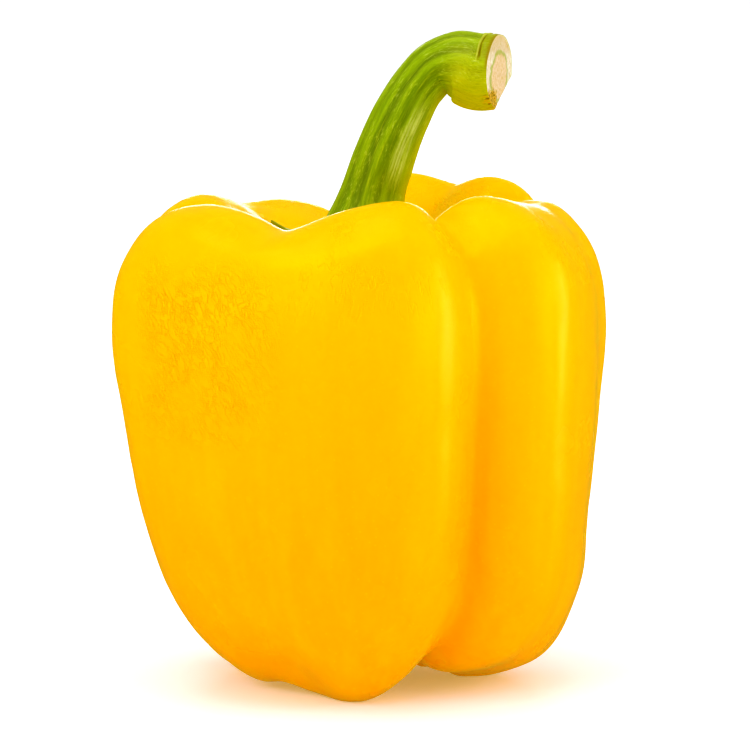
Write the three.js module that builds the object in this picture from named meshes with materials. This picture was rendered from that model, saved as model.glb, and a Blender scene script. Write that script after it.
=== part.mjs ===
// Bell pepper: a blocky, four-lobed fruit that stands on the tips of its lobes, and the
// curved green stalk that it was cut from the plant by.
//
// Millimetres, +Z up. The origin is the centre of the bounding box's footprint, on the
// surface that the fruit stands on. Angles are degrees from +X towards +Y.
//
// The fruit is a turned body whose profile changes around its axis. Each of its four lobes
// has two rounded shoulders, so eight "crest" profiles run from the blossom end under the
// fruit, up the side and over the shoulder to the floor of the hollow that holds the stalk.
// Between each two crests lies a furrow with its own profile. Four furrows are deep and
// part the lobes; the other four are shallow dents in a lobe.
//
// The stalk and the green calyx at its foot grew as one piece and are one solid. Its foot
// stands on the flat floor of the hollow, and the calyx spreads over the floor without
// touching it.

import * as THREE from 'three';
import { mergeVertices } from 'three/addons/utils/BufferGeometryUtils.js';

// ---------------------------------------------------------------- driving dimensions

// Where the axis of the fruit lies, measured from the centre of the footprint.
const AXIS_X = -0.61;
const AXIS_Y = 0.45;

// How far the lobe tips are pressed flat where they stand.
const TIP_FLAT = 0.6;

// Mesh fineness.
const FRUIT_COLUMNS = 100;
const FRUIT_ROWS = [2, 2, 4, 4, 3, 3, 3, 3, 3, 3, 3, 3, 2, 1];   // rows in each span of the profile
const STEM_COLUMNS = 24;

// Angle of each crest and of each furrow at mid height, and how far the line drifts around
// the fruit from the blossom end (minus) to the hollow (plus), in degrees.
const CREST_ANGLE = [39, 75, 118.1, 155.5, 205.7, 275, 328, 367.2];
const CREST_DRIFT = [-6, -4, 0.1, -3.4, -0.9, 15, -0.3, 0.3];
const FURROW_ANGLE = [24.5, 54.5, 98, 137.9, 178.4, 243, 304.9, 350];
const FURROW_DRIFT = [-3, -7, 0, 0, 0, 0, 1.4, 0.2];

// How sharply each furrow is cut: small is a narrow crease, large a broad dent.
const FURROW_WIDTH = [0.18, 0.5, 0.18, 0.5, 0.2, 0.8, 0.16, 0.6];       // 0 is a sharp crease, 1 a wide dip
const FURROW_WIDTH_RIM = [0.18, 0.4, 0.18, 0.4, 0.2, 0.15, 0.16, 0.35];   // the same at the shoulder's rim

// Profiles as [radius, height] pairs: blossom end, lobe tip, side, shoulder, hollow.
const CREST_PROFILE = [
  [[0, 8.6], [6, 7.9], [14, 1.5], [20, 0.2], [29.9, 4.1], [38.5, 15], [42.5, 32], [44.5, 50], [45.5, 66], [43.5, 78.3], [38.8, 87.8], [29.6, 91.3], [14.9, 82.3], [6.5, 80], [0, 80]],
  [[0, 8.6], [6, 7.9], [14, 1.6], [20, 0], [30, 4], [38.5, 15], [42, 32], [44, 50], [45, 66], [43, 78], [37.6, 86], [30, 91.2], [15, 82.3], [6.5, 80], [0, 80]],
  [[0, 8.6], [6, 7.9], [14, 1.6], [20, 0.3], [30, 4.2], [38.5, 15], [42, 32], [44, 50], [44.5, 66], [42, 78], [36.2, 85.2], [29.8, 85.9], [15, 82.3], [6.5, 80], [0, 80]],
  [[0, 8.6], [6, 7.9], [14, 1.5], [20.1, 0], [28.2, 3.4], [36, 15], [41.2, 32], [44, 50], [45.6, 66], [43.1, 78.1], [37, 86.3], [29.4, 88.6], [15, 82], [6.5, 80], [0, 80]],
  [[0, 8.6], [6, 7.9], [12.6, 3.2], [19, 1.6], [27.4, 7], [35.7, 17], [41.7, 32], [45, 50], [47.3, 66], [45.4, 78.4], [38.7, 86.6], [29, 89.1], [15, 82.8], [6.5, 80], [0, 80]],
  [[0, 8.6], [6, 7.9], [14, 1.5], [20.1, 0], [29, 4.1], [37.5, 15], [42.5, 32], [44.5, 50], [45, 66], [42.4, 78], [38, 86], [28.4, 91.2], [15, 82.3], [6.5, 80], [0, 80]],
  [[0, 8.6], [6, 7.9], [14, 5.2], [21, 3.9], [31.6, 7.4], [39.7, 18], [42.5, 32], [44, 50], [44.5, 66], [43, 78], [38, 86.1], [26.8, 91.1], [15, 82.4], [6.5, 80], [0, 80]],
  [[0, 8.6], [6, 7.9], [15, 2.2], [21, 0.2], [33.7, 4], [40.6, 16.6], [42.5, 32], [44.4, 50], [45.6, 66], [43.8, 78.1], [38.2, 86.1], [32.2, 88], [15, 82.3], [6.5, 80], [0, 80]],
];
const FURROW_PROFILE = [
  [[0, 8.6], [6, 7.9], [12.5, 8.3], [19, 8.7], [26, 11], [31.7, 18], [34.8, 32], [36.5, 50], [37.2, 66], [35.6, 76], [31.8, 83.2], [25.4, 87.2], [15, 80.7], [6.5, 80], [0, 80]],
  [[0, 8.6], [6, 7.9], [13, 4], [18.9, 3], [26.3, 6.2], [36.5, 15.9], [40.1, 32], [42.1, 50], [43.1, 66], [41.1, 77], [36.4, 84.5], [28.6, 89.8], [15, 81], [6.5, 80], [0, 80]],
  [[0, 8.6], [6, 7.9], [12.5, 8.2], [19, 8.4], [26, 11], [31.7, 18], [34.8, 32], [36.5, 50], [37.2, 66], [35.6, 76], [31.5, 82], [25, 84.1], [15, 80.6], [6.5, 80], [0, 80]],
  [[0, 8.6], [6, 7.9], [13.1, 3], [19.1, 1.6], [26, 5.2], [36, 15.6], [39.5, 32], [42, 50], [42.9, 66], [40.4, 76.9], [34.5, 85.7], [28.4, 86], [15, 80.8], [6.5, 80], [0, 80]],
  [[0, 8.6], [6, 7.9], [12.5, 8.1], [19.1, 7.7], [26, 10.7], [31.8, 18], [34.9, 32], [36.6, 50], [37.3, 66], [35.7, 76], [31.7, 82.3], [23, 85.8], [15, 82.4], [6.5, 80], [0, 80]],
  [[0, 8.6], [6, 7.9], [11.8, 3.4], [18.3, 1.3], [24.3, 6.5], [34.7, 16.1], [40.4, 32], [43.2, 50], [44.5, 66], [42.2, 77], [37.3, 83.6], [27.7, 85.9], [15, 80.1], [6.5, 80], [0, 80]],
  [[0, 8.6], [6, 7.9], [12.5, 8.1], [19.2, 7.7], [26.1, 10.9], [31.7, 18], [34.8, 32], [36.5, 50], [37.2, 66], [35.6, 76], [31.4, 82.3], [23.8, 87.1], [14.9, 80.9], [6.5, 80], [0, 80]],
  [[0, 8.6], [6, 7.9], [14, 3.2], [20.5, 2], [32, 5], [39.9, 17], [41.8, 32], [43.5, 50], [43.7, 66], [42.3, 77], [37.2, 85.3], [29.8, 88.6], [15, 81.7], [6.5, 80], [0, 80]],
];

// The flat floor of the hollow, which the foot of the stalk stands on.
const FLOOR_RADIUS = 6.5;
const FLOOR_HEIGHT = 80.0;

// The stalk: points on its centre line, and its radius at each.
const STEM_LINE = [
  [1.61, 0, 83.36],
  [1.88, 0, 85.81],
  [2.44, 0, 88.88],
  [4.41, 0, 95.42],
  [7.94, 0, 104.06],
  [11.26, 0, 109.56],
  [14.21, -0.1, 112.36],
  [17.62, -0.5, 112.87],
  [21.6, -1.3, 111.89],
  [25.21, -2.6, 110.93],
];
const STEM_RADIUS = [8.39, 7, 6.03, 5.6, 5.16, 4.83, 5.09, 6.31, 7.09, 6.38];
const STEM_RIDGES = 5;            // long ribs down the stalk
const STEM_RIDGE_DEPTH = 0.03;    // as a share of the radius
const CUT_RIM = 0.35;             // how far the skin stands past the pith at the cut

// The calyx: a star of short sepals around the foot.
const FOOT_RADIUS = 6.0;
const CALYX_RADIUS = 12.6;
const SEPAL_LENGTH = 2.6;
const SEPALS = 6;
const SEPAL_ANGLE = 186;          // where one sepal's tip points
const CALYX_THICKNESS = 1.1;
const CALYX_CLEARANCE = [0.35, 0.45];   // above the hollow's floor, at the foot and at the tips
const SEPAL_CURL = 0.4;           // how far the tips lift

const FRUIT_COLOUR = 0xffb400;
const STEM_COLOUR = 0x6f9a2a;

// ---------------------------------------------------------------- curves

const DEG = Math.PI / 180;
const mod = (a, n) => ((a % n) + n) % n;

// One span of a cubic with given end values and end slopes.
function span(a, b, ma, mb, h, u) {
  const u2 = u * u, u3 = u2 * u;
  return (2 * u3 - 3 * u2 + 1) * a + (u3 - 2 * u2 + u) * h * ma + (3 * u2 - 2 * u3) * b + (u3 - u2) * h * mb;
}

// Slopes of a smooth curve through values at uneven steps.
function slopes(keys, values) {
  const m = values.map(() => 0);
  for (let i = 1; i < values.length - 1; i++) {
    const h0 = keys[i] - keys[i - 1], h1 = keys[i + 1] - keys[i];
    m[i] = ((values[i] - values[i - 1]) / h0 * h1 + (values[i + 1] - values[i]) / h1 * h0) / (h0 + h1);
  }
  return m;
}

// A closed smooth curve through values at angles, read at angle t.
function around(angles, values, t) {
  const order = angles.map((a, i) => [mod(a, 360), values[i]]).sort((p, q) => p[0] - q[0]);
  const n = order.length;
  const keys = [order[n - 2][0] - 360, order[n - 1][0] - 360, ...order.map(p => p[0]), order[0][0] + 360, order[1][0] + 360];
  const vals = [order[n - 2][1], order[n - 1][1], ...order.map(p => p[1]), order[0][1], order[1][1]];
  const m = slopes(keys, vals);
  t = mod(t, 360);
  let i = 1;
  while (i < keys.length - 3 && keys[i + 1] <= t) i++;
  const h = keys[i + 1] - keys[i];
  return span(vals[i], vals[i + 1], m[i], m[i + 1], h, (t - keys[i]) / h);
}

// How deep in a furrow the angle t is: 1 at the bottom of a furrow, 0 on a crest.
function furrowDepth(t, crests, furrows, widths) {
  t = mod(t - furrows[0], 360) + furrows[0];
  const n = furrows.length;
  for (let k = 0; k < n; k++) {
    const a = furrows[k], c = crests[k], b = k + 1 < n ? furrows[k + 1] : furrows[0] + 360;
    if (t < a || t > b) continue;
    const e = t < c ? widths[k] : widths[(k + 1) % n];
    const x = t < c ? (t - a) / (c - a) : (b - t) / (b - c);
    const y = (Math.sqrt(x * x + e * e) - e) / (Math.sqrt(1 + e * e) - e);
    return (1 - y) ** 2;
  }
  return 0;
}

// ---------------------------------------------------------------- fruit

const STATIONS = CREST_PROFILE[0].length;

// The profile's stations [radius, height] in the plane at angle t.
function stations(t) {
  const out = [];
  for (let j = 0; j < STATIONS; j++) {
    const q = (j - 7) / 7;
    const crests = CREST_ANGLE.map((a, k) => a + CREST_DRIFT[k] * q);
    const furrows = FURROW_ANGLE.map((a, k) => a + FURROW_DRIFT[k] * q);
    const rim = Math.min(1, Math.max(0, (j - 9) / 2));
    const widths = FURROW_WIDTH.map((e, k) => e + (FURROW_WIDTH_RIM[k] - e) * rim);
    const w = furrowDepth(t, crests, furrows, widths);
    const p = [0, 1].map(c => {
      const line = CREST_PROFILE.map(f => f[j][c]);
      const depth = furrows.map((a, k) => around(crests, line, a) - FURROW_PROFILE[k][j][c]);
      return around(crests, line, t) - w * around(furrows, depth, t);
    });
    out.push(p);
  }
  return out;
}

// The steps between stations follow the mean profile, so they are the same all around.
const stationColumns = Array.from({ length: FRUIT_COLUMNS }, (_, i) => stations(360 * i / FRUIT_COLUMNS));
const mirrored = s => [[-s[1][0], s[1][1]], ...s, [-s[STATIONS - 2][0], s[STATIONS - 2][1]]];
const meanProfile = mirrored(stationColumns[0]).map((_, j) => [0, 1].map(c =>
  stationColumns.reduce((sum, s) => sum + mirrored(s)[j][c], 0) / FRUIT_COLUMNS));
const profileKeys = [0];
for (let j = 1; j < meanProfile.length; j++) {
  profileKeys.push(profileKeys[j - 1] + Math.sqrt(Math.hypot(
    meanProfile[j][0] - meanProfile[j - 1][0], meanProfile[j][1] - meanProfile[j - 1][1])));
}

// Full profile at one column: [radius, height] for each row, blossom end to hollow.
function profileRows(s) {
  const e = mirrored(s);
  const m = [0, 1].map(c => slopes(profileKeys, e.map(p => p[c])));
  const rows = [];
  for (let j = 1; j < STATIONS; j++) {
    const n = FRUIT_ROWS[j - 1], h = profileKeys[j + 1] - profileKeys[j];
    for (let i = 0; i < n; i++) {
      rows.push([0, 1].map(c => span(e[j][c], e[j + 1][c], m[c][j], m[c][j + 1], h, i / n)));
    }
  }
  rows.push(s[STATIONS - 1]);
  // Lobe tips end flat on the surface, and the hollow has a flat floor.
  return rows.map(([r, z], i) => [
    i === 0 || i === rows.length - 1 ? 0 : r,
    i > rows.length / 2 && r < FLOOR_RADIUS + 0.05 ? FLOOR_HEIGHT : Math.max(z - TIP_FLAT, 0),
  ]);
}

// A closed body turned about the axis, whose points are then moved to point(column, row).
function turnedBody(columns, rows, point) {
  const outline = Array.from({ length: rows }, (_, j) => new THREE.Vector2(j === 0 || j === rows - 1 ? 0 : 1, j));
  const lathe = new THREE.LatheGeometry(outline, columns);
  const position = lathe.attributes.position;
  for (let i = 0; i <= columns; i++) {
    for (let j = 0; j < rows; j++) {
      const p = point(j === 0 || j === rows - 1 ? 0 : i % columns, j);
      position.setXYZ(i * rows + j, p[0], p[1], p[2]);
    }
  }
  lathe.deleteAttribute('normal');
  lathe.deleteAttribute('uv');
  const body = mergeVertices(lathe, 1e-5);
  const index = body.index.array, kept = [];
  for (let i = 0; i < index.length; i += 3) {
    const [a, b, c] = index.slice(i, i + 3);
    if (a !== b && b !== c && c !== a) kept.push(a, b, c);
  }
  body.setIndex(kept);
  body.computeVertexNormals();
  return body;
}

const fruitColumns = stationColumns.map(profileRows);
const fruitGeometry = turnedBody(FRUIT_COLUMNS, fruitColumns[0].length, (i, j) => {
  const [r, z] = fruitColumns[i][j];
  const t = 360 * i / FRUIT_COLUMNS * DEG;
  return [r * Math.cos(t), r * Math.sin(t), z];
});

// Height of the hollow's wall at a radius and an angle.
function hollowHeight(r, t) {
  if (r <= FLOOR_RADIUS) return FLOOR_HEIGHT;
  const rows = profileRows(stations(t));
  for (let j = rows.length - 1; j > 1; j--) {
    const [r0, z0] = rows[j], [r1, z1] = rows[j - 1];
    if (r >= r0 && r <= r1) return z0 + (z1 - z0) * (r - r0) / (r1 - r0);
  }
  return FLOOR_HEIGHT;
}

// ---------------------------------------------------------------- stalk and calyx

const stemKeys = [0];
for (let i = 1; i < STEM_LINE.length; i++) {
  const [a, b] = [STEM_LINE[i - 1], STEM_LINE[i]];
  stemKeys.push(stemKeys[i - 1] + Math.hypot(b[0] - a[0], b[1] - a[1], b[2] - a[2]));
}
const stemLength = stemKeys[stemKeys.length - 1];

// A smooth open curve through values at the stalk's keys, read at distance s.
function along(values, s) {
  const n = values.length;
  const keys = [2 * stemKeys[0] - stemKeys[1], ...stemKeys, 2 * stemKeys[n - 1] - stemKeys[n - 2]];
  const vals = [2 * values[0] - values[1], ...values, 2 * values[n - 1] - values[n - 2]];
  const m = slopes(keys, vals);
  let i = 1;
  while (i < n - 1 && keys[i + 1] < s) i++;
  const h = keys[i + 1] - keys[i];
  return span(vals[i], vals[i + 1], m[i], m[i + 1], h, (s - keys[i]) / h);
}

const linePoint = s => new THREE.Vector3(...[0, 1, 2].map(c => along(STEM_LINE.map(p => p[c]), s)));

// A ring around the stalk at distance s: a point at angle t and a share of the radius.
function stemPoint(s, t, share = 1, push = 0) {
  const centre = linePoint(s);
  const tangent = linePoint(Math.min(s + 0.3, stemLength)).sub(linePoint(Math.max(s - 0.3, 0))).normalize();
  if (s < 2) tangent.lerp(new THREE.Vector3(0, 0, 1), 1 - s / 2).normalize();
  const e1 = new THREE.Vector3(tangent.z, 0, -tangent.x).normalize();
  const e2 = tangent.clone().cross(e1);
  const fade = Math.min(1, s / 6) * Math.min(1, (stemLength - s) / 4);
  const r = along(STEM_RADIUS, s) * share * (1 + STEM_RIDGE_DEPTH * fade * Math.cos(STEM_RIDGES * t * DEG));
  return centre.addScaledVector(e1, r * Math.cos(t * DEG)).addScaledVector(e2, r * Math.sin(t * DEG)).addScaledVector(tangent, push);
}

const calyxReach = t => CALYX_RADIUS + SEPAL_LENGTH * (0.5 + 0.5 * Math.cos(SEPALS * (t - SEPAL_ANGLE) * DEG)) ** 1.5;

const underRows = [0.55, 1];
const underShares = [0.12, 0.4, 0.7, 1];
const upperShares = [0.93, 0.7, 0.4, 0.15];
const stemStations = Array.from({ length: 18 }, (_, i) => stemLength * i / 17);

function calyxPoint(t, share, top) {
  const reach = calyxReach(t);
  const r = FOOT_RADIUS + (reach - FOOT_RADIUS) * share;
  const lift = CALYX_CLEARANCE[0] + (CALYX_CLEARANCE[1] - CALYX_CLEARANCE[0]) * share;
  const curl = SEPAL_CURL * share ** 3 * (reach - CALYX_RADIUS) / SEPAL_LENGTH;
  const thick = top ? CALYX_THICKNESS * (1 - 0.5 * share) + 1.8 * (1 - share) ** 2 : 0;
  return [r * Math.cos(t * DEG), r * Math.sin(t * DEG), hollowHeight(r, t) + lift + curl + thick];
}

const stemRows = [
  () => [0, 0, FLOOR_HEIGHT],
  ...underRows.map(k => t => [k * FOOT_RADIUS * Math.cos(t * DEG), k * FOOT_RADIUS * Math.sin(t * DEG), FLOOR_HEIGHT]),
  ...underShares.map(k => t => calyxPoint(t, k, false)),
  ...upperShares.map(k => t => calyxPoint(t, k, true)),
  ...stemStations.map(s => t => stemPoint(s, t).toArray()),
  t => stemPoint(stemLength, t, 0.9, -CUT_RIM).toArray(),
  t => stemPoint(stemLength, t, 0.45, -CUT_RIM).toArray(),
  () => stemPoint(stemLength, 0, 0, -CUT_RIM).toArray(),
];
const stemGeometry = turnedBody(STEM_COLUMNS, stemRows.length, (i, j) => stemRows[j](360 * i / STEM_COLUMNS));

// ---------------------------------------------------------------- the pepper

const pepper = new THREE.Group();
pepper.name = 'bell_pepper';
pepper.position.set(AXIS_X, AXIS_Y, 0);

const fruit = new THREE.Mesh(fruitGeometry, new THREE.MeshStandardMaterial({ color: FRUIT_COLOUR, roughness: 0.35, metalness: 0 }));
fruit.name = 'fruit';
pepper.add(fruit);

const stem = new THREE.Mesh(stemGeometry, new THREE.MeshStandardMaterial({ color: STEM_COLOUR, roughness: 0.6, metalness: 0 }));
stem.name = 'stem';
pepper.add(stem);

const part = new THREE.Group();
part.add(pepper);

export default part;
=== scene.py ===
import math

import bpy
import numpy as np
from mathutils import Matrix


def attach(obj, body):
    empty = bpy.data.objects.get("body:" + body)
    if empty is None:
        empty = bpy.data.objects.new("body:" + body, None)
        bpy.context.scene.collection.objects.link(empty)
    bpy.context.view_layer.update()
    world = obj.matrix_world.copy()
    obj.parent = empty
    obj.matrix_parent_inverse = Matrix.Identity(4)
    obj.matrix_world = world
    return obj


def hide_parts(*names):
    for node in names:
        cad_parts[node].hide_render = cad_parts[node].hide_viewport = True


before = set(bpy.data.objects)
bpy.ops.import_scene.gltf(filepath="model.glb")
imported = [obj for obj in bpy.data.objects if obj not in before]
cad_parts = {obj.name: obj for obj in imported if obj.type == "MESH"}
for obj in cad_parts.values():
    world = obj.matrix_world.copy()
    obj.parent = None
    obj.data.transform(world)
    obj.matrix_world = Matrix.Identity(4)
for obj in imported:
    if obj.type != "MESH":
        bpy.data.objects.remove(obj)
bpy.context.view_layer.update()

# ------------------------------------------------------------------ the pepper's shape, in millimetres
# Crest and furrow profiles as [radius, height]: blossom end, lobe tip, side, shoulder, hollow.
AXIS = np.array([-0.61, 0.45, 0.0])
TIP_FLAT = 0.6
CREST_ANGLE = np.array([39, 75, 118.1, 155.5, 205.7, 275, 328, 367.2])
CREST_DRIFT = np.array([-6, -4, 0.1, -3.4, -0.9, 15, -0.3, 0.3])
FURROW_ANGLE = np.array([24.5, 54.5, 98, 137.9, 178.4, 243, 304.9, 350])
FURROW_DRIFT = np.array([-3, -7, 0, 0, 0, 0, 1.4, 0.2])
FURROW_WIDTH = np.array([0.18, 0.5, 0.18, 0.5, 0.2, 0.8, 0.16, 0.6])
FURROW_WIDTH_RIM = np.array([0.18, 0.4, 0.18, 0.4, 0.2, 0.15, 0.16, 0.35])
CREST_PROFILE = np.array([
    [[0, 8.6], [6, 7.9], [14, 1.5], [20, 0.2], [29.9, 4.1], [38.5, 15], [42.5, 32], [44.5, 50], [45.5, 66], [43.5, 78.3], [38.8, 87.8], [29.6, 91.3], [14.9, 82.3], [6.5, 80], [0, 80]],
    [[0, 8.6], [6, 7.9], [14, 1.6], [20, 0], [30, 4], [38.5, 15], [42, 32], [44, 50], [45, 66], [43, 78], [37.6, 86], [30, 91.2], [15, 82.3], [6.5, 80], [0, 80]],
    [[0, 8.6], [6, 7.9], [14, 1.6], [20, 0.3], [30, 4.2], [38.5, 15], [42, 32], [44, 50], [44.5, 66], [42, 78], [36.2, 85.2], [29.8, 85.9], [15, 82.3], [6.5, 80], [0, 80]],
    [[0, 8.6], [6, 7.9], [14, 1.5], [20.1, 0], [28.2, 3.4], [36, 15], [41.2, 32], [44, 50], [45.6, 66], [43.1, 78.1], [37, 86.3], [29.4, 88.6], [15, 82], [6.5, 80], [0, 80]],
    [[0, 8.6], [6, 7.9], [12.6, 3.2], [19, 1.6], [27.4, 7], [35.7, 17], [41.7, 32], [45, 50], [47.3, 66], [45.4, 78.4], [38.7, 86.6], [29, 89.1], [15, 82.8], [6.5, 80], [0, 80]],
    [[0, 8.6], [6, 7.9], [14, 1.5], [20.1, 0], [29, 4.1], [37.5, 15], [42.5, 32], [44.5, 50], [45, 66], [42.4, 78], [38, 86], [28.4, 91.2], [15, 82.3], [6.5, 80], [0, 80]],
    [[0, 8.6], [6, 7.9], [14, 5.2], [21, 3.9], [31.6, 7.4], [39.7, 18], [42.5, 32], [44, 50], [44.5, 66], [43, 78], [38, 86.1], [26.8, 91.1], [15, 82.4], [6.5, 80], [0, 80]],
    [[0, 8.6], [6, 7.9], [15, 2.2], [21, 0.2], [33.7, 4], [40.6, 16.6], [42.5, 32], [44.4, 50], [45.6, 66], [43.8, 78.1], [38.2, 86.1], [32.2, 88], [15, 82.3], [6.5, 80], [0, 80]],
])
FURROW_PROFILE = np.array([
    [[0, 8.6], [6, 7.9], [12.5, 8.3], [19, 8.7], [26, 11], [31.7, 18], [34.8, 32], [36.5, 50], [37.2, 66], [35.6, 76], [31.8, 83.2], [25.4, 87.2], [15, 80.7], [6.5, 80], [0, 80]],
    [[0, 8.6], [6, 7.9], [13, 4], [18.9, 3], [26.3, 6.2], [36.5, 15.9], [40.1, 32], [42.1, 50], [43.1, 66], [41.1, 77], [36.4, 84.5], [28.6, 89.8], [15, 81], [6.5, 80], [0, 80]],
    [[0, 8.6], [6, 7.9], [12.5, 8.2], [19, 8.4], [26, 11], [31.7, 18], [34.8, 32], [36.5, 50], [37.2, 66], [35.6, 76], [31.5, 82], [25, 84.1], [15, 80.6], [6.5, 80], [0, 80]],
    [[0, 8.6], [6, 7.9], [13.1, 3], [19.1, 1.6], [26, 5.2], [36, 15.6], [39.5, 32], [42, 50], [42.9, 66], [40.4, 76.9], [34.5, 85.7], [28.4, 86], [15, 80.8], [6.5, 80], [0, 80]],
    [[0, 8.6], [6, 7.9], [12.5, 8.1], [19.1, 7.7], [26, 10.7], [31.8, 18], [34.9, 32], [36.6, 50], [37.3, 66], [35.7, 76], [31.7, 82.3], [23, 85.8], [15, 82.4], [6.5, 80], [0, 80]],
    [[0, 8.6], [6, 7.9], [11.8, 3.4], [18.3, 1.3], [24.3, 6.5], [34.7, 16.1], [40.4, 32], [43.2, 50], [44.5, 66], [42.2, 77], [37.3, 83.6], [27.7, 85.9], [15, 80.1], [6.5, 80], [0, 80]],
    [[0, 8.6], [6, 7.9], [12.5, 8.1], [19.2, 7.7], [26.1, 10.9], [31.7, 18], [34.8, 32], [36.5, 50], [37.2, 66], [35.6, 76], [31.4, 82.3], [23.8, 87.1], [14.9, 80.9], [6.5, 80], [0, 80]],
    [[0, 8.6], [6, 7.9], [14, 3.2], [20.5, 2], [32, 5], [39.9, 17], [41.8, 32], [43.5, 50], [43.7, 66], [42.3, 77], [37.2, 85.3], [29.8, 88.6], [15, 81.7], [6.5, 80], [0, 80]],
])
FLOOR_RADIUS, FLOOR_HEIGHT = 6.5, 80.0
STATIONS = CREST_PROFILE.shape[1]

STEM_LINE = np.array([[1.61, 0, 83.36], [1.88, 0, 85.81], [2.44, 0, 88.88], [4.41, 0, 95.42], [7.94, 0, 104.06], [11.26, 0, 109.56], [14.21, -0.1, 112.36], [17.62, -0.5, 112.87], [21.6, -1.3, 111.89], [25.21, -2.6, 110.93]])
STEM_RADIUS = np.array([8.39, 7, 6.03, 5.6, 5.16, 4.83, 5.09, 6.31, 7.09, 6.38])
STEM_LINE[-1] += [0.26, 0.0, 0.86]
STEM_RADIUS[-1] = 6.85
CUT_DIRECTION = np.array([0.930, -0.367, -0.020]) / math.sqrt(0.930**2 + 0.367**2 + 0.020**2)
# The lower corner of the end is trimmed off by a plane: its outward direction, and where it lies along it.
CORNER, CORNER_AT = np.array([0.867, 0.0, -0.498]), -31.05
FOOT_RADIUS, CALYX_RADIUS, SEPAL_LENGTH = 6.0, 12.6, 2.6
SEPALS, SEPAL_ANGLE = 6, 186.0


def hermite(a, b, ma, mb, h, u):
    u2, u3 = u * u, u * u * u
    return (2 * u3 - 3 * u2 + 1) * a + (u3 - 2 * u2 + u) * h * ma + (3 * u2 - 2 * u3) * b + (u3 - u2) * h * mb


def slopes(keys, values):
    """Slopes of a smooth curve through values (keys first) at uneven steps."""
    h = np.diff(keys).reshape((-1,) + (1,) * (values.ndim - 1))
    d = np.diff(values, axis=0) / h
    m = np.zeros_like(values)
    m[1:-1] = (d[:-1] * h[1:] + d[1:] * h[:-1]) / (h[:-1] + h[1:])
    return m


def around(angles, values, t):
    """A closed smooth curve through values at angles, read at the angles t."""
    a = np.mod(angles, 360.0)
    order = np.argsort(a)
    a, v = a[order], np.asarray(values, float)[order]
    keys = np.concatenate([a[-2:] - 360, a, a[:2] + 360])
    vals = np.concatenate([v[-2:], v, v[:2]])
    m = slopes(keys, vals)
    t = np.mod(t, 360.0)
    i = np.clip(np.searchsorted(keys, t, side="right") - 1, 1, len(keys) - 3)
    h = keys[i + 1] - keys[i]
    shape = (-1,) + (1,) * (vals.ndim - 1)
    u = ((t - keys[i]) / h).reshape(shape)
    return hermite(vals[i], vals[i + 1], m[i], m[i + 1], h.reshape(shape), u)


def furrow_depth(t, crests, furrows, widths):
    """1 at the bottom of a furrow, 0 on a crest."""
    t = np.mod(t - furrows[0], 360.0) + furrows[0]
    n, w = len(furrows), np.zeros_like(t)
    for k in range(n):
        a, c = furrows[k], crests[k]
        b = furrows[k + 1] if k + 1 < n else furrows[0] + 360
        for inside, x, e in (
            ((t >= a) & (t < c), (t - a) / (c - a), widths[k]),
            ((t >= c) & (t <= b), (b - t) / (b - c), widths[(k + 1) % n]),
        ):
            y = (np.sqrt(x * x + e * e) - e) / (np.sqrt(1 + e * e) - e)
            w = np.where(inside, (1 - y) ** 2, w)
    return w


def stations(t):
    """(angles, stations, 2) profile points, and (angles, stations) depth in the furrow, 1 being 7 mm."""
    out, depth = np.zeros((len(t), STATIONS, 2)), np.zeros((len(t), STATIONS))
    for j in range(STATIONS):
        q = (j - 7) / 7
        crests, furrows = CREST_ANGLE + CREST_DRIFT * q, FURROW_ANGLE + FURROW_DRIFT * q
        rim = min(1.0, max(0.0, (j - 9) / 2))
        widths = FURROW_WIDTH + (FURROW_WIDTH_RIM - FURROW_WIDTH) * rim
        w = furrow_depth(t, crests, furrows, widths)
        line = CREST_PROFILE[:, j]
        cut = around(crests, line, furrows) - FURROW_PROFILE[:, j]
        out[:, j] = around(crests, line, t) - w[:, None] * around(furrows, cut, t)
        depth[:, j] = w * np.clip(around(furrows, np.hypot(cut[:, 0], cut[:, 1]), t) / 7.0, 0, 1)
    return out, depth


def mirrored(s):
    flip = np.array([-1.0, 1.0])
    return np.concatenate([s[:, 1:2] * flip, s, s[:, -2:-1] * flip], axis=1)


def profile_rows(t, rows):
    """(angles, sum(rows)+1, 2) smooth profiles and the furrow depth along them."""
    s, w = stations(t)
    e = mirrored(s)
    mean = mirrored(stations(np.arange(100) * 3.6)[0]).mean(0)
    keys = np.concatenate([[0], np.cumsum(np.sqrt(np.hypot(*np.diff(mean, axis=0).T)))])
    m = np.swapaxes(slopes(keys, np.swapaxes(e, 0, 1)), 0, 1)
    out, depth = [], []
    for j in range(1, STATIONS):
        h, n = keys[j + 1] - keys[j], rows[j - 1]
        for i in range(n):
            u = i / n
            out.append(hermite(e[:, j], e[:, j + 1], m[:, j], m[:, j + 1], h, u))
            depth.append(w[:, j - 1] * (1 - u) + w[:, j] * u)
    out.append(s[:, -1])
    depth.append(w[:, -1])
    return np.stack(out, 1), np.stack(depth, 1)


# ------------------------------------------------------------------ smooth seeded noise on points

def value_noise(p, size, seed):
    """Smooth noise from -1 to 1 at points p (n, 3), with blobs about size across."""
    rng = np.random.default_rng(seed)
    table = rng.uniform(-1, 1, 4096)
    q = p / size
    base = np.floor(q).astype(np.int64)
    f = q - base
    f = f * f * f * (f * (f * 6 - 15) + 10)
    total = np.zeros(len(p))
    for dx in (0, 1):
        for dy in (0, 1):
            for dz in (0, 1):
                c = base + [dx, dy, dz]
                h = (c[:, 0] * 73856093 ^ c[:, 1] * 19349663 ^ c[:, 2] * 83492791) & 4095
                wx = f[:, 0] if dx else 1 - f[:, 0]
                wy = f[:, 1] if dy else 1 - f[:, 1]
                wz = f[:, 2] if dz else 1 - f[:, 2]
                total += table[h] * wx * wy * wz
    return total


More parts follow.
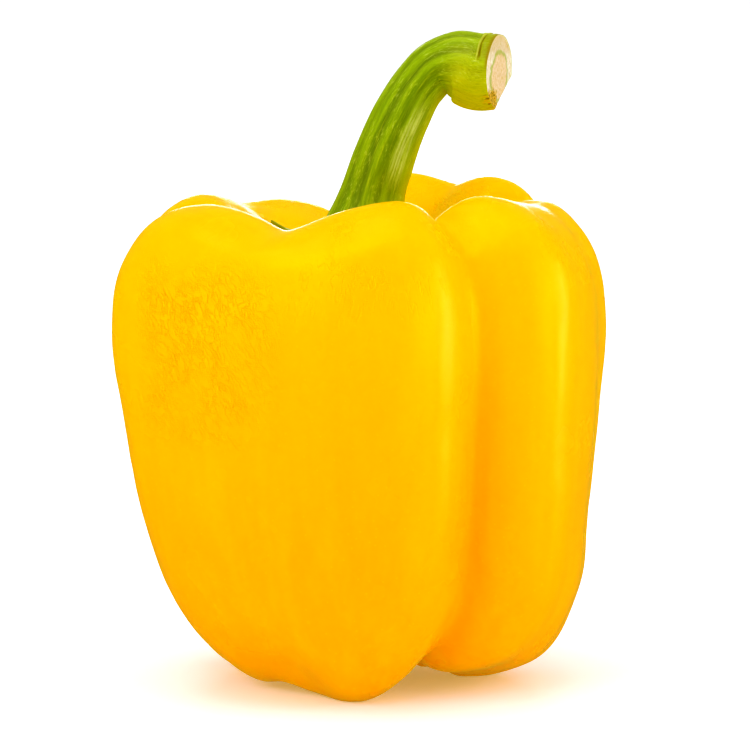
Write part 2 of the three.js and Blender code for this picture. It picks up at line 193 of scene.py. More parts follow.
def grid_normals(p):
    """Outward normals of a (columns, rows, 3) grid that closes around its columns."""
    dt = np.roll(p, -1, 0) - np.roll(p, 1, 0)
    ds = np.gradient(p, axis=1)
    n = np.cross(dt, ds)
    return n / np.maximum(np.linalg.norm(n, axis=-1, keepdims=True), 1e-9)


def turned_mesh(name, p, extra):
    """A closed mesh from a (columns, rows, 3) grid in millimetres whose first and last rows are single points. extra holds values at each grid point."""
    columns, rows = p.shape[:2]
    ring = p[:, 1:-1].reshape(-1, 3)
    verts = np.concatenate([ring, p[:1, 0], p[:1, -1]]) / 1000.0
    first, last = len(ring), len(ring) + 1
    r = rows - 2
    i = np.arange(columns)
    k = (i + 1) % columns
    quads = [np.stack([i * r + j, k * r + j, k * r + j + 1, i * r + j + 1], 1) for j in range(r - 1)]
    quads = np.concatenate(quads)
    low = np.stack([np.full(columns, first), k * r, i * r], 1)
    high = np.stack([np.full(columns, last), i * r + r - 1, k * r + r - 1], 1)
    tris = np.concatenate([low, high])
    mesh = bpy.data.meshes.new(name)
    mesh.vertices.add(len(verts))
    mesh.vertices.foreach_set("co", verts.astype(np.float32).ravel())
    loops = np.concatenate([quads.ravel(), tris.ravel()])
    starts = np.concatenate([np.arange(len(quads)) * 4, len(quads) * 4 + np.arange(len(tris)) * 3])
    mesh.loops.add(len(loops))
    mesh.loops.foreach_set("vertex_index", loops.astype(np.int32))
    mesh.polygons.add(len(starts))
    mesh.polygons.foreach_set("loop_start", starts.astype(np.int32))
    mesh.update(calc_edges=True)
    mesh.validate()
    mesh.polygons.foreach_set("use_smooth", np.ones(len(mesh.polygons), bool))
    for key, value in extra.items():
        flat = np.concatenate([value[:, 1:-1].reshape((-1,) + value.shape[2:]), value[:1, 0], value[:1, -1]])
        if flat.ndim == 2:
            a = mesh.attributes.new(key, "FLOAT_VECTOR", "POINT")
            a.data.foreach_set("vector", flat.astype(np.float32).ravel())
        else:
            a = mesh.attributes.new(key, "FLOAT", "POINT")
            a.data.foreach_set("value", flat.astype(np.float32))
    obj = bpy.data.objects.new(name, mesh)
    bpy.context.scene.collection.objects.link(obj)
    return obj


# ------------------------------------------------------------------ fruit mesh

def smoothstep(a, b, x):
    x = np.clip((x - a) / (b - a), 0, 1)
    return x * x * (3 - 2 * x)


def fruit_grid(columns, rows):
    t = np.arange(columns) * 360.0 / columns
    prof, depth = profile_rows(t, rows)
    a = np.radians(t)[:, None]
    r, z = prof[..., 0].copy(), prof[..., 1].copy()
    n_rows = prof.shape[1]
    r[:, 0] = r[:, -1] = 0
    p = np.stack([r * np.cos(a), r * np.sin(a), z - TIP_FLAT], -1)
    # Gentle unevenness of the skin: broad swells and small dimples.
    flat = p.reshape(-1, 3)
    swell = 0.34 * value_noise(flat * [1, 1, 0.62], 17.0, 3) + 0.13 * value_noise(flat * [1, 1, 0.8], 7.5, 4)
    dimple = 0.035 * value_noise(flat, 2.9, 5)
    swell, dimple = swell.reshape(p.shape[:2]), dimple.reshape(p.shape[:2])
    away = smoothstep(8.0, 20.0, r)
    n = grid_normals(p)
    p = p + n * ((swell * away + dimple * smoothstep(4, 10, r)) * smoothstep(0.0, 14.0, z + 3))[..., None]
    # Fine radial folds where the skin gathers into the hollow and at the blossom end.
    inner = np.arange(n_rows)[None, :] > n_rows * 0.72
    fold = np.sin(np.radians(t * 23) + 2.3 * np.sin(np.radians(t * 5)))[:, None]
    p[..., 2] += 0.12 * fold * inner * smoothstep(7.5, 11, r) * (1 - smoothstep(17, 26, r))
    under = np.arange(n_rows)[None, :] < n_rows * 0.3
    star = np.sin(np.radians(t * 17) + 1.7 * np.sin(np.radians(t * 4 + 40)))[:, None]
    p[..., 2] += 0.16 * star * under * smoothstep(0.8, 3, r) * (1 - smoothstep(7, 15, r))
    # The blossom scar is a small raised button in the middle of the blossom end.
    p[..., 2] -= 0.9 * under * (1 - smoothstep(0.0, 2.3, r)) - 0.35 * under * smoothstep(1.2, 2.6, r) * (1 - smoothstep(2.6, 5, r))
    # The lobe tips stand flat, and the hollow has a flat floor.
    p[..., 2] = np.maximum(p[..., 2], 0)
    floor = inner & (r < FLOOR_RADIUS + 0.05)
    p[..., 2] = np.where(floor, FLOOR_HEIGHT, p[..., 2])
    return p + AXIS, {"furrow": depth, "row": np.broadcast_to(np.linspace(0, 1, n_rows), depth.shape).copy()}


FRUIT_ROWS = [8, 10, 12, 12, 14, 14, 14, 14, 13, 13, 16, 16, 10, 4]
grid, extra = fruit_grid(408, FRUIT_ROWS)
fruit = turned_mesh("pepper_fruit", grid, extra)

# ------------------------------------------------------------------ stalk mesh

stem_keys = np.concatenate([[0], np.cumsum(np.linalg.norm(np.diff(STEM_LINE, axis=0), axis=1))])
stem_length = stem_keys[-1]


def along(values, s):
    values = np.asarray(values, float)
    keys = np.concatenate([[2 * stem_keys[0] - stem_keys[1]], stem_keys, [2 * stem_keys[-1] - stem_keys[-2]]])
    vals = np.concatenate([[2 * values[0] - values[1]], values, [2 * values[-1] - values[-2]]])
    m = slopes(keys, vals)
    i = np.clip(np.searchsorted(keys, s, side="left") - 1, 1, len(keys) - 3)
    h = keys[i + 1] - keys[i]
    shape = (-1,) + (1,) * (vals.ndim - 1)
    u = ((s - keys[i]) / h).reshape(shape)
    return hermite(vals[i], vals[i + 1], m[i], m[i + 1], h.reshape(shape), u)


def unit(v):
    return v / np.maximum(np.linalg.norm(v, axis=-1, keepdims=True), 1e-9)


def stem_frames(s):
    centre = along(STEM_LINE, s)
    tangent = unit(along(STEM_LINE, np.minimum(s + 0.3, stem_length)) - along(STEM_LINE, np.maximum(s - 0.3, 0)))
    w = np.clip(s / 2, 0, 1)[:, None]
    tangent = unit(tangent * w + np.array([0, 0, 1.0]) * (1 - w))
    e = smoothstep(stem_length - 5.0, stem_length, s)[:, None]
    tangent = unit(tangent * (1 - e) + CUT_DIRECTION * e)
    e1 = unit(np.stack([tangent[:, 2], np.zeros(len(s)), -tangent[:, 0]], -1))
    e2 = np.cross(tangent, e1)
    return centre, tangent, e1, e2


def hollow_height(r, t):
    """Height of the hollow's wall at radius r (columns, k) over the angles t."""
    prof, _ = profile_rows(t, [1, 1, 1, 1, 1, 1, 1, 1, 1, 4, 10, 20, 20, 4])
    start = prof.shape[1] - 46
    out = np.zeros_like(r)
    for i in range(len(t)):
        rr, zz = prof[i, start:, 0][::-1], prof[i, start:, 1][::-1] - TIP_FLAT
        zz = np.where(rr < FLOOR_RADIUS + 0.05, FLOOR_HEIGHT, zz)
        out[i] = np.interp(r[i], rr, zz)
    return np.where(r <= FLOOR_RADIUS, FLOOR_HEIGHT, out)


GROOVES = ((-118, 9, 0.040), (-148, 7, 0.026), (-84, 8, 0.030), (-64, 6, 0.018), (-178, 8, 0.02), (62, 10, 0.040), (100, 7, 0.02), (140, 9, 0.028), (12, 9, 0.015))


def groove_at(t, s, at, width):
    drift = 0.35 * np.sin(s / 9.0) + 0.2 * np.sin(s / 4.3 + 1)
    d = np.mod(t - at - 9 * drift + 180, 360) - 180
    return np.exp(-((d / width) ** 2))


def ribs(t, s):
    """Long ribs and grooves down the stalk, as a share of the radius, for angles t (columns, 1) and distances s (1, rows)."""
    a = np.radians(t)
    drift = 0.35 * np.sin(s / 9.0) + 0.2 * np.sin(s / 4.3 + 1)
    out = 0.020 * np.cos(5 * a + 0.7 + drift)
    out = out + 0.012 * np.cos(8 * a + 2.1 - drift * 1.5)
    # sharper grooves between the flat ribs
    for at, width, deep in GROOVES:
        out = out - deep * groove_at(t, s, at, width)
    return out


def stem_grid(columns):
    t = np.arange(columns) * 360.0 / columns
    a = np.radians(t)[:, None]
    wobble = np.sin(np.radians(t * 3 + 50)) * 0.25 + np.sin(np.radians(t * 7 + 10)) * 0.12
    point = (0.5 + 0.5 * np.cos(np.radians(SEPALS * (t - SEPAL_ANGLE + 3 * np.sin(np.radians(t * 2)))))) ** 1.5
    reach = (CALYX_RADIUS + SEPAL_LENGTH * point + wobble * 0.6)[:, None]
    lifted = np.exp(-(((t - 189.0) / 13.0) ** 2))[:, None]
    reach = reach + 0.9 * lifted
    parts, kinds, ss = [], [], []

    def add(p, kind, s):
        parts.append(p)
        kinds.append(np.full(p.shape[:2], float(kind)))
        ss.append(np.broadcast_to(s, p.shape[:2]).copy())

    foot = np.array([0.0, 0.3, 0.6, 0.85, 1.0])[None, :] * FOOT_RADIUS
    add(np.stack([foot * np.cos(a), foot * np.sin(a), np.full((columns, 5), FLOOR_HEIGHT)], -1), 0, -16.0)

    def calyx(share, top):
        r = FOOT_RADIUS + (reach - FOOT_RADIUS) * share
        lift = 0.35 + 0.10 * share
        curl = 0.4 * share**3 * (reach - CALYX_RADIUS) / SEPAL_LENGTH
        z = hollow_height(r, t) + lift + curl + 1.25 * lifted * share**3
        if top:
            thick = 1.1 * (1 - 0.5 * share) + 1.8 * (1 - share) ** 2
            vein = 0.16 * np.cos(np.radians(t * 18 + 20))[:, None] * np.sin(np.pi * share) + 0.28 * point[:, None] * np.sin(np.pi * share)
            z = z + thick + vein
        else:
            r = r
        return np.stack([r * np.cos(a), r * np.sin(a), z], -1)

    under = np.array([[0.06, 0.2, 0.35, 0.5, 0.65, 0.8, 0.9, 0.96]])
    add(calyx(under, False), 0, -12.0)
    # rounded edge
    lo, hi = calyx(np.array([[0.985]]), False), calyx(np.array([[0.985]]), True)
    edge = (lo + hi) / 2
    out = np.concatenate([np.cos(a), np.sin(a), np.zeros_like(a)], 1)[:, None]
    add(edge + out * 0.25 - [0, 0, 0.28], 0, -9.0)
    add(edge + out * 0.25 + [0, 0, 0.28], 0, -9.0)
    upper = np.array([[0.97, 0.92, 0.85, 0.77, 0.68, 0.59, 0.5, 0.41, 0.33, 0.25, 0.17]])
    add(calyx(upper, True), 1, -8 * upper)

    s = np.concatenate([np.linspace(0, stem_length - 6, 120), np.linspace(stem_length - 6, stem_length, 76)[1:]])
    centre, tangent, e1, e2 = stem_frames(s)
    fade = np.minimum(1, s / 5) * np.minimum(1, (stem_length - s) / 5 + 0.25)
    r = along(STEM_RADIUS, s)[None, :] * (1 + ribs(t[:, None], s[None, :]) * fade[None, :])
    # the stalk narrows in a fold under the bend where the swollen head starts; the bulge below it is scaled to
    # nothing
    d = np.mod(t[:, None] - 0 + 180, 360) - 180
    below = np.exp(-((d / 55.0) ** 2))
    r = r * (1 - 0.035 * below * np.exp(-(((s[None, :] - 34.5) / 2.3) ** 2)))
    r = r * (1 + 0.0 * 0.02 * below * np.exp(-(((s[None, :] - 39.5) / 3.4) ** 2)))
    # the scar ring: a narrow groove round the end, with a low lip before the cut
    ring_at = stem_length - 1.85 + 0.12 * np.sin(3 * a)
    ringed = smoothstep(-0.30, -0.50, np.cos(a)) * smoothstep(0.6, 0.2, np.sin(a))
    r = r * (1 - ringed * (0.045 * np.exp(-(((s[None, :] - ring_at) / 0.24) ** 2)) - 0.016 * np.exp(-(((s[None, :] - ring_at + 0.45) / 0.35) ** 2))))
    # the end is trimmed slightly out of round
    trim = smoothstep(stem_length - 0.9, stem_length, s)[None, :]
    r = r * (1 - trim * (0.018 + 0.010 * np.sin(5 * a + 1)))
    tube = centre[None] + r[..., None] * (e1[None] * np.cos(a)[..., None] + e2[None] * np.sin(a)[..., None])
    add(tube, 1, s[None, :])

    # the cut face: skin rim, sunken vascular ring, domed pith
    rim = r[:, -1:]
    share = np.array([[0.985, 0.96, 0.93, 0.9, 0.86, 0.82, 0.78, 0.73, 0.68, 0.62, 0.56, 0.5, 0.43, 0.36, 0.29, 0.22, 0.15, 0.08, 0.0]])
    rough = value_noise(np.stack([(share * 9 * np.cos(a)).ravel(), (share * 9 * np.sin(a)).ravel(), np.full(share.size * columns, 0.3)], 1), 1.5, 11).reshape(columns, -1)
    depth = -0.30 * smoothstep(1.0, 0.93, share) + 0.20 * smoothstep(0.74, 0.5, share) - 0.10 * np.exp(-(((share - 0.77) / 0.05) ** 2)) + 0.11 * rough * smoothstep(1.0, 0.9, share) * smoothstep(0.0, 0.3, share)
    rr = rim * share
    face = centre[-1] + rr[..., None] * (e1[-1] * np.cos(a)[..., None] + e2[-1] * np.sin(a)[..., None]) + depth[..., None] * tangent[-1]
    face[:, -1] = face[:, -1].mean(0)
    for piece in (tube, face):
        over = np.maximum(piece @ CORNER - CORNER_AT, 0)
        piece -= (over * smoothstep(0.0, 0.5, over))[..., None] * CORNER
    add(face, 2, stem_length + (1 - share) * 6.6)

    p = np.concatenate(parts, 1)
    p[:, 0] = p[:, 0].mean(0)
    kind, s_all = np.concatenate(kinds, 1), np.concatenate(ss, 1)
    around_xy = np.stack([np.broadcast_to(np.cos(a), kind.shape), np.broadcast_to(np.sin(a), kind.shape)], -1)
    # straightened coordinates for the streaks: around the stalk, then along it in centimetres
    straight = np.concatenate([around_xy, (s_all / 10.0)[..., None]], -1)
    # polar coordinates on the cut: unit disc, 0 at the pith's middle
    on_cut = np.zeros(kind.shape + (3,))
    on_cut[:, -share.shape[1]:, 0] = share * np.cos(a)
    on_cut[:, -share.shape[1]:, 1] = share * np.sin(a)
    on_cut[:, : -share.shape[1], 0] = np.cos(a)
    on_cut[:, : -share.shape[1], 1] = np.sin(a)
    cut = np.zeros(kind.shape)
    cut[:, -share.shape[1]:] = 1
    groove = sum(deep / 0.04 * groove_at(t[:, None], s_all, at, width * 0.8) for at, width, deep in GROOVES)
    groove = np.clip(groove, 0, 1) * (cut < 0.5) * (s_all > -1)
    return p + AXIS, {"straight": straight, "on_cut": on_cut, "cut": cut, "groove": groove}


grid, extra = stem_grid(288)
stem = turned_mesh("pepper_stem", grid, extra)

# ------------------------------------------------------------------ materials

def new_material(name):
    m = bpy.data.materials.new(name)
    m.use_nodes = True
    m.node_tree.nodes.clear()
    return m, m.node_tree


def node(tree, kind, **inputs):
    n = tree.nodes.new(kind)
    for key, value in inputs.items():
        if key in ("operation", "blend_type", "data_type", "attribute_name", "feature", "noise_dimensions", "distance", "wave_type", "bands_direction", "interpolation_type", "clamp", "clamp_factor"):
            setattr(n, key, value)
    return n


def rgb(r, g, b):
    return (r, g, b, 1.0)


class Net:
    """Short words for the nodes of one material."""

    def __init__(self, tree):
        self.tree = tree

    def put(self, socket, value):
        if hasattr(value, "links") or isinstance(value, bpy.types.NodeSocket):
            self.tree.links.new(value, socket)
        elif isinstance(value, (tuple, list)):
            socket.default_value = value
        else:
            socket.default_value = value

    def math(self, op, a, b=0.0, c=0.0, clamp=False):
        n = self.tree.nodes.new("ShaderNodeMath")
        n.operation, n.use_clamp = op, clamp
        for s, v in zip(n.inputs, (a, b, c)):
            self.put(s, v)
        return n.outputs[0]

    def vmath(self, op, a, b=(0, 0, 0)):
        n = self.tree.nodes.new("ShaderNodeVectorMath")
        n.operation = op
        self.put(n.inputs[0], a)
        self.put(n.inputs[1], b)
        return n.outputs[1] if op in ("LENGTH", "DOT_PRODUCT", "DISTANCE") else n.outputs[0]

    def noise(self, vector, scale, detail=2.0, rough=0.5, distortion=0.0):
        n = self.tree.nodes.new("ShaderNodeTexNoise")
        self.put(n.inputs["Vector"], vector)
        n.inputs["Scale"].default_value = scale
        n.inputs["Detail"].default_value = detail
        n.inputs["Roughness"].default_value = rough
        n.inputs["Distortion"].default_value = distortion
        return n.outputs["Fac"]

    def voronoi(self, vector, scale, feature="F1", randomness=1.0):
        n = self.tree.nodes.new("ShaderNodeTexVoronoi")
        n.feature = feature
        self.put(n.inputs["Vector"], vector)
        n.inputs["Scale"].default_value = scale
        n.inputs["Randomness"].default_value = randomness
        return n.outputs["Distance"]

    def range(self, value, lo, hi, to_lo=0.0, to_hi=1.0, smooth=True):
        n = self.tree.nodes.new("ShaderNodeMapRange")
        n.interpolation_type = "SMOOTHSTEP" if smooth else "LINEAR"
        n.clamp = True
        self.put(n.inputs["Value"], value)
        for key, v in (("From Min", lo), ("From Max", hi), ("To Min", to_lo), ("To Max", to_hi)):
            n.inputs[key].default_value = v
        return n.outputs["Result"]

    def mix(self, factor, a, b, blend="MIX"):
        n = self.tree.nodes.new("ShaderNodeMix")
        n.data_type, n.blend_type = "RGBA", blend
        self.put(n.inputs[0], factor)
        self.put(n.inputs[6], a)
        self.put(n.inputs[7], b)
        return n.outputs[2]

    def attribute(self, name, vector=False):
        n = self.tree.nodes.new("ShaderNodeAttribute")
        n.attribute_name = name
        return n.outputs["Vector"] if vector else n.outputs["Fac"]

    def object_coords(self):
        return self.tree.nodes.new("ShaderNodeTexCoord").outputs["Object"]

    def split(self, vector):
        n = self.tree.nodes.new("ShaderNodeSeparateXYZ")
        self.put(n.inputs[0], vector)
        return n.outputs[0], n.outputs[1], n.outputs[2]

    def join(self, a, b, c):
        n = self.tree.nodes.new("ShaderNodeCombineXYZ")
        for s, v in zip(n.inputs, (a, b, c)):
            self.put(s, v)
        return n.outputs[0]

    def bump(self, height, distance, strength=1.0, normal=None):
        n = self.tree.nodes.new("ShaderNodeBump")
        n.inputs["Strength"].default_value = strength
        n.inputs["Distance"].default_value = distance
        self.put(n.inputs["Height"], height)
        if normal is not None:
            self.put(n.inputs["Normal"], normal)
        return n.outputs[0]

    def shader(self, **values):
        p = self.tree.nodes.new("ShaderNodeBsdfPrincipled")
        for key, v in values.items():
            self.put(p.inputs[key.replace("_", " ")], v)
        out = self.tree.nodes.new("ShaderNodeOutputMaterial")
        self.tree.links.new(p.outputs[0], out.inputs["Surface"])
        return p


def fruit_material():
    m, tree = new_material("pepper_skin")
    k = Net(tree)
    co = k.object_coords()
    x, y, z = k.split(co)
    furrow = k.attribute("furrow")
    # Painted light and shade: lighter golden yellow on top, deeper orange-yellow lower down as painted shade, and
    # deeper orange in the furrows as painted shade.
    upper, shaded_lower, deep = rgb(1.0, 0.468, 0.0012), rgb(1.0, 0.378, 0.0008), rgb(0.98, 0.285, 0.0004)
    mottle = k.noise(k.vmath("MULTIPLY", co, (1, 1, 0.45)), 38.0, 3.0, 0.55)
    height = k.math("ADD", z, k.math("MULTIPLY", k.math("SUBTRACT", mottle, 0.5), 0.030))
    # painted light on the top of the fruit, painted shade lower down
    colour = k.mix(k.range(height, 0.012, 0.085), shaded_lower, upper)
    # painted shade in the furrows, fading out towards the top
    colour = k.mix(k.math("MULTIPLY", k.range(furrow, 0.45, 1.0), k.range(z, 0.030, 0.075, 0.55, 0.0)), colour, deep)
    # Faint lighter upright streaks: painted sheen, standing in for soft bands of reflection down the skin.
    streak = k.noise(k.vmath("MULTIPLY", co, (1, 1, 0.09)), 210.0, 2.0, 0.6)
    colour = k.mix(k.range(streak, 0.35, 0.75, 0.0, 0.16), colour, rgb(1.0, 0.60, 0.004))
    # Small pale specks in the skin.
    speck = k.voronoi(co, 620.0)
    colour = k.mix(k.range(speck, 0.16, 0.05, 0.0, 0.16), colour, rgb(1.0, 0.70, 0.05))
    # The corky blossom scar under the fruit.
    axis = k.math("SQRT", k.math("ADD", k.math("POWER", k.math("SUBTRACT", x, AXIS[0] / 1000), 2.0), k.math("POWER", k.math("SUBTRACT", y, AXIS[1] / 1000), 2.0)))
    ragged = k.math("ADD", axis, k.math("MULTIPLY", k.math("SUBTRACT", k.noise(co, 900.0, 3.0), 0.5), 0.0022))
    below = k.range(z, 0.04, 0.03)
    scar = k.math("MULTIPLY", k.range(ragged, 0.0026, 0.0014), below)
    halo = k.math("MULTIPLY", k.range(ragged, 0.0075, 0.0020), below)
    colour = k.mix(k.math("MULTIPLY", halo, 0.35), colour, rgb(0.80, 0.42, 0.03))
    colour = k.mix(scar, colour, rgb(0.16, 0.075, 0.025))

    # Waxy skin: fine orange-peel, and crossed wrinkles on the two shoulders.
    fine = k.noise(co, 1500.0, 2.0, 0.6)
    pores = k.range(k.voronoi(co, 1300.0), 0.0, 0.45)
    peel = k.noise(co, 330.0, 3.0, 0.6)
    # Slanting net of wrinkles on the left shoulder, with branches.
    slant = k.math("ADD", k.math("MULTIPLY", x, 0.82), k.math("MULTIPLY", z, 0.57))
    along_it = k.math("SUBTRACT", k.math("MULTIPLY", x, 0.57 * 0.26), k.math("MULTIPLY", z, 0.82 * 0.26))
    net = k.join(slant, k.math("MULTIPLY", y, 0.5), along_it)
    net = k.vmath("ADD", net, k.vmath("MULTIPLY", tree_noise_colour(tree, co, 190.0), (0.0022, 0.0022, 0.0022)))
    net_line = k.range(k.math("ABSOLUTE", k.math("SUBTRACT", k.noise(net, 1500.0, 1.0, 0.5), 0.5)), 0.0, 0.065)
    left = k.math("MULTIPLY", k.range(x, -0.010, -0.024), k.math("MULTIPLY", k.range(z, 0.044, 0.056), k.range(z, 0.084, 0.074)))
    patch = k.range(k.noise(co, 75.0, 2.0), 0.30, 0.50, 0.25, 1.0)
    left = k.math("MULTIPLY", left, k.math("MULTIPLY", patch, k.math("MULTIPLY", k.range(y, 0.004, -0.012), k.range(x, -0.0415, -0.0355))))
    # Fine lines running down from the rim on the shoulders.
    line = k.range(k.math("ABSOLUTE", k.math("SUBTRACT", k.noise(k.vmath("MULTIPLY", co, (1, 1, 0.07)), 820.0, 1.0, 0.5), 0.5)), 0.0, 0.06)
    high = k.math("MULTIPLY", k.range(z, 0.066, 0.080), k.range(k.noise(co, 55.0, 2.0), 0.50, 0.62))
    where = k.math("ADD", left, k.math("MULTIPLY", high, 0.6), clamp=True)
    folds = k.math("ADD", k.math("MULTIPLY", k.math("MULTIPLY", net_line, 1.4), left), k.math("MULTIPLY", line, k.math("MULTIPLY", high, 0.6)))
    glint = k.noise(co, 2600.0, 1.0, 0.5)
    h = k.math("ADD", k.math("MULTIPLY", fine, 0.16), k.math("MULTIPLY", peel, 0.26))
    h = k.math("ADD", h, k.math("MULTIPLY", pores, 0.10))
    h = k.math("ADD", h, k.math("MULTIPLY", glint, 0.13))
    h = k.math("ADD", h, k.math("MULTIPLY", folds, 1.00))
    normal = k.bump(h, 0.00012, 1.0)
    rough = k.range(k.noise(co, 70.0, 3.0, 0.6), 0.3, 0.7, 0.21, 0.29)
    rough = k.math("ADD", rough, k.math("MULTIPLY", where, 0.04))
    rough = k.math("ADD", rough, k.math("MULTIPLY", scar, 0.4))
    k.shader(
        Base_Color=colour,
        Roughness=rough,
        Normal=normal,
        IOR=1.36,
        Specular_IOR_Level=0.5,
        Specular_Tint=rgb(1.0, 0.80, 0.10),
        Subsurface_Weight=0.50,
        Subsurface_Radius=(1.0, 0.45, 0.05),
        Subsurface_Scale=0.0055,
    )
    return m


def tree_noise_colour(tree, vector, scale):
    n = tree.nodes.new("ShaderNodeTexNoise")
    tree.links.new(vector, n.inputs["Vector"])
    n.inputs["Scale"].default_value = scale
    n.inputs["Detail"].default_value = 2.0
    v = tree.nodes.new("ShaderNodeVectorMath")
    v.operation = "SUBTRACT"
    tree.links.new(n.outputs["Color"], v.inputs[0])
    v.inputs[1].default_value = (0.5, 0.5, 0.5)
    return v.outputs[0]


def stem_material():
    m, tree = new_material("stem_skin")
    k = Net(tree)
    co = k.object_coords()
    straight = k.attribute("straight", True)
    on_cut = k.attribute("on_cut", True)
    cut = k.attribute("cut")
    ca, sa, s = k.split(straight)
    x, y, z = k.split(co)

    # Long streaks: noise that is stretched along the stalk.
    long_co = k.vmath("MULTIPLY", straight, (1, 1, 0.16))
    streak = k.noise(long_co, 5.2, 4.0, 0.62, 0.25)
    fine_streak = k.noise(k.vmath("MULTIPLY", straight, (1, 1, 0.10)), 15.0, 3.0, 0.6)
    blotch = k.noise(straight, 3.0, 3.0, 0.6)
    dark, mid, light, yellow = rgb(0.115, 0.225, 0.006), rgb(0.235, 0.375, 0.009), rgb(0.42, 0.52, 0.050), rgb(0.54, 0.52, 0.008)
    groove = k.attribute("groove")
    colour = k.mix(k.range(streak, 0.34, 0.60), dark, mid)
    # painted shade: the grooves down the stalk are darkened
    colour = k.mix(k.math("MULTIPLY", groove, k.range(fine_streak, 0.3, 0.6, 0.55, 0.95)), colour, rgb(0.050, 0.110, 0.004))
    colour = k.mix(k.range(fine_streak, 0.52, 0.74, 0.0, 0.65), colour, light)
    colour = k.mix(k.range(blotch, 0.55, 0.8, 0.0, 0.35), colour, rgb(0.30, 0.42, 0.03))
    # A pale strip down the lower right of the front: a painted highlight of the light at the right.
    facing = k.math("ADD", k.math("MULTIPLY", ca, 0.50), k.math("MULTIPLY", sa, -0.866))
    highlight_strip = k.math("MULTIPLY", k.range(facing, 0.94, 0.995), k.math("MULTIPLY", k.range(s, 0.7, 1.3), k.range(s, 2.8, 1.9)))
    highlight_strip = k.math("MULTIPLY", highlight_strip, k.range(fine_streak, 0.35, 0.60, 0.25, 1.0))
    colour = k.mix(k.math("MULTIPLY", highlight_strip, 0.80), colour, rgb(0.60, 0.70, 0.33))
    # The side under the bend and the swollen head are yellow-green.
    under = k.range(ca, 0.70, 1.0)
    head = k.range(s, 3.2, 3.9)
    warm = k.math("MAXIMUM", k.math("MULTIPLY", under, 0.75), k.math("MULTIPLY", head, k.range(ca, -0.9, 0.35, 0.12, 0.85)))
    warm = k.math("MULTIPLY", warm, k.range(fine_streak, 0.25, 0.7, 1.0, 0.7))
    colour = k.mix(warm, colour, yellow)
    # Pale cell specks.
    speck = k.noise(k.vmath("MULTIPLY", straight, (1, 1, 0.40)), 24.0, 3.0, 0.65)
    flecks = k.range(k.noise(straight, 2.2, 2.0), 0.42, 0.66, 0.10, 1.0)
    colour = k.mix(k.math("MULTIPLY", k.range(speck, 0.50, 0.68, 0.0, 0.55), flecks), colour, rgb(0.56, 0.66, 0.24))
    colour = k.mix(k.range(speck, 0.46, 0.34, 0.0, 0.28), colour, rgb(0.075, 0.15, 0.004))
    # Rim of the calyx is a little brown and dry.
    dry = k.range(k.math("ADD", s, k.math("MULTIPLY", k.noise(straight, 9.0), 0.12)), -0.60, -0.76)
    colour = k.mix(k.math("MULTIPLY", dry, 0.45), colour, rgb(0.20, 0.15, 0.03))
    # Brown scar line round the head, just before the cut.
    length = stem_length / 10.0
    part = k.math("MULTIPLY", k.range(k.math("ADD", ca, k.math("MULTIPLY", k.math("SUBTRACT", k.noise(straight, 5.0), 0.5), 0.3)), -0.26, -0.48), k.range(sa, 0.6, 0.2))
    back_of = k.math("SUBTRACT", s, length - 0.185)
    ring = k.math("ADD", k.math("ABSOLUTE", back_of), k.math("MULTIPLY", k.math("SUBTRACT", k.noise(straight, 14.0, 3.0), 0.5), 0.03))
    olive = k.math("MULTIPLY", part, k.range(back_of, 0.0, 0.03))
    colour = k.mix(k.math("MULTIPLY", olive, 0.75), colour, rgb(0.26, 0.27, 0.008))
    # a thin pale line just behind the scar ring: a painted highlight
    ring_highlight = k.math("MULTIPLY", part, k.range(k.math("ABSOLUTE", k.math("ADD", back_of, 0.035)), 0.022, 0.006))
    colour = k.mix(k.math("MULTIPLY", ring_highlight, 0.7), colour, rgb(0.62, 0.60, 0.18))
    colour = k.mix(k.math("MULTIPLY", k.range(ring, 0.026, 0.006), k.math("MULTIPLY", part, 0.85)), colour, rgb(0.20, 0.105, 0.012))
    close = k.range(k.math("ADD", s, k.math("MULTIPLY", k.noise(straight, 9.0, 3.0), 0.05)), length - 0.045, length + 0.005)
    wide_part = k.range(ca, 0.05, -0.35)
    colour = k.mix(k.math("MULTIPLY", close, k.math("MULTIPLY", wide_part, 0.8)), colour, rgb(0.24, 0.13, 0.012))

    # The cut: pale skin edge, fibrous beige wood, green vascular ring, peach pith, brown scab.
    radius = k.vmath("LENGTH", on_cut)
    rim_at = k.math("ADD", radius, k.math("MULTIPLY", k.math("SUBTRACT", k.noise(on_cut, 6.0, 3.0, 0.6), 0.5), 0.06))
    wob = k.math("ADD", k.vmath("DISTANCE", on_cut, (0.13, 0.10, 0.0)), k.math("MULTIPLY", k.math("SUBTRACT", k.noise(on_cut, 2.6, 4.0, 0.65), 0.5), 0.30))
    fibre = k.noise(k.vmath("MULTIPLY", on_cut, (3.5, 11.0, 1.0)), 2.4, 4.0, 0.7, 0.5)
    pith = k.mix(k.range(fibre, 0.3, 0.7), rgb(0.62, 0.37, 0.20), rgb(0.88, 0.68, 0.47))
    wood = k.mix(k.range(fibre, 0.3, 0.7), rgb(0.66, 0.50, 0.30), rgb(0.92, 0.86, 0.70))
    face = k.mix(k.range(wob, 0.60, 0.70), pith, wood)
